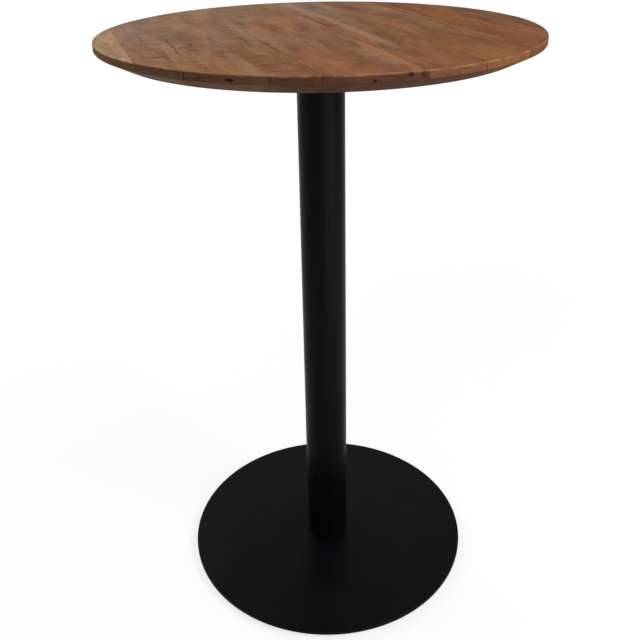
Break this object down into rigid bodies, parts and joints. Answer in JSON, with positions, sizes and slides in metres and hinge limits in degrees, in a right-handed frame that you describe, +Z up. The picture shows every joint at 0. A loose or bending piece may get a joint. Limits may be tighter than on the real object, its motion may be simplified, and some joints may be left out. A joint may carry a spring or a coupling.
{
  "type": "pub table",
  "caption": "Bar-height pub table: round bevelled top of edge-glued reclaimed boards on a round black steel column and a flat round base plate with levelling glides.",
  "frame": {"origin": "on the floor under the column's axis, at the middle of the part's box", "axes": "+Z up along the column, +Y away from the picture's camera, +X to its right"},
  "size_m": [0.75, 0.7499, 1.1],
  "materials": {
    "teak": "satin lacquered reclaimed boards",
    "black_powder_coat": "satin fine-textured powder coat",
    "zinc_steel": "zinc-plated",
    "bare_steel": "turned mild steel",
    "black_nylon": "moulded nylon"
  },
  "bodies": {
    "table": {"top_board_1": "teak", "top_board_2": "teak", "top_board_3": "teak", "top_board_4": "teak", "top_board_5": "teak", "top_board_6": "teak", "top_board_7": "teak", "top_board_8": "teak", "top_board_9": "teak", "top_plate": "black_powder_coat", "column_tube": "black_powder_coat", "base_plate": "black_powder_coat", "threaded_inserts": "zinc_steel", "top_washers": "zinc_steel", "top_bolts": "zinc_steel", "head_screws": "zinc_steel", "foot_screws": "zinc_steel", "head_disc": "bare_steel", "foot_disc": "bare_steel"},
    "glide_pad_1": {"glide_pad_1": "black_nylon"},
    "glide_stud_1": {"glide_stud_1": "zinc_steel"},
    "glide_pad_2": {"glide_pad_2": "black_nylon"},
    "glide_stud_2": {"glide_stud_2": "zinc_steel"},
    "glide_pad_3": {"glide_pad_3": "black_nylon"},
    "glide_stud_3": {"glide_stud_3": "zinc_steel"},
    "glide_pad_4": {"glide_pad_4": "black_nylon"},
    "glide_stud_4": {"glide_stud_4": "zinc_steel"}
  },
  "joints": [
    {"name": "glide_1_lift", "type": "slide", "parent": "table", "child": "glide_pad_1", "axis": [0, 0, -1], "range_m": [0, 0.0025]},
    {"name": "glide_1_turn", "type": "hinge", "parent": "glide_pad_1", "child": "glide_stud_1", "pos_m": [0.17324, 0.17324, 0], "axis": [0, 0, -1], "range_deg": [0, 720]},
    {"name": "glide_2_lift", "type": "slide", "parent": "table", "child": "glide_pad_2", "axis": [0, 0, -1], "range_m": [0, 0.0025]},
    {"name": "glide_2_turn", "type": "hinge", "parent": "glide_pad_2", "child": "glide_stud_2", "pos_m": [-0.17324, 0.17324, 0], "axis": [0, 0, -1], "range_deg": [0, 720]},
    {"name": "glide_3_lift", "type": "slide", "parent": "table", "child": "glide_pad_3", "axis": [0, 0, -1], "range_m": [0, 0.0025]},
    {"name": "glide_3_turn", "type": "hinge", "parent": "glide_pad_3", "child": "glide_stud_3", "pos_m": [-0.17324, -0.17324, 0], "axis": [0, 0, -1], "range_deg": [0, 720]},
    {"name": "glide_4_lift", "type": "slide", "parent": "table", "child": "glide_pad_4", "axis": [0, 0, -1], "range_m": [0, 0.0025]},
    {"name": "glide_4_turn", "type": "hinge", "parent": "glide_pad_4", "child": "glide_stud_4", "pos_m": [0.17324, -0.17324, 0], "axis": [0, 0, -1], "range_deg": [0, 720]}
  ],
  "couplings": [
    {"joint": "glide_1_lift", "follows": "glide_1_turn", "m_per_rad": 0.00019894},
    {"joint": "glide_2_lift", "follows": "glide_2_turn", "m_per_rad": 0.00019894},
    {"joint": "glide_3_lift", "follows": "glide_3_turn", "m_per_rad": 0.00019894},
    {"joint": "glide_4_lift", "follows": "glide_4_turn", "m_per_rad": 0.00019894}
  ]
}
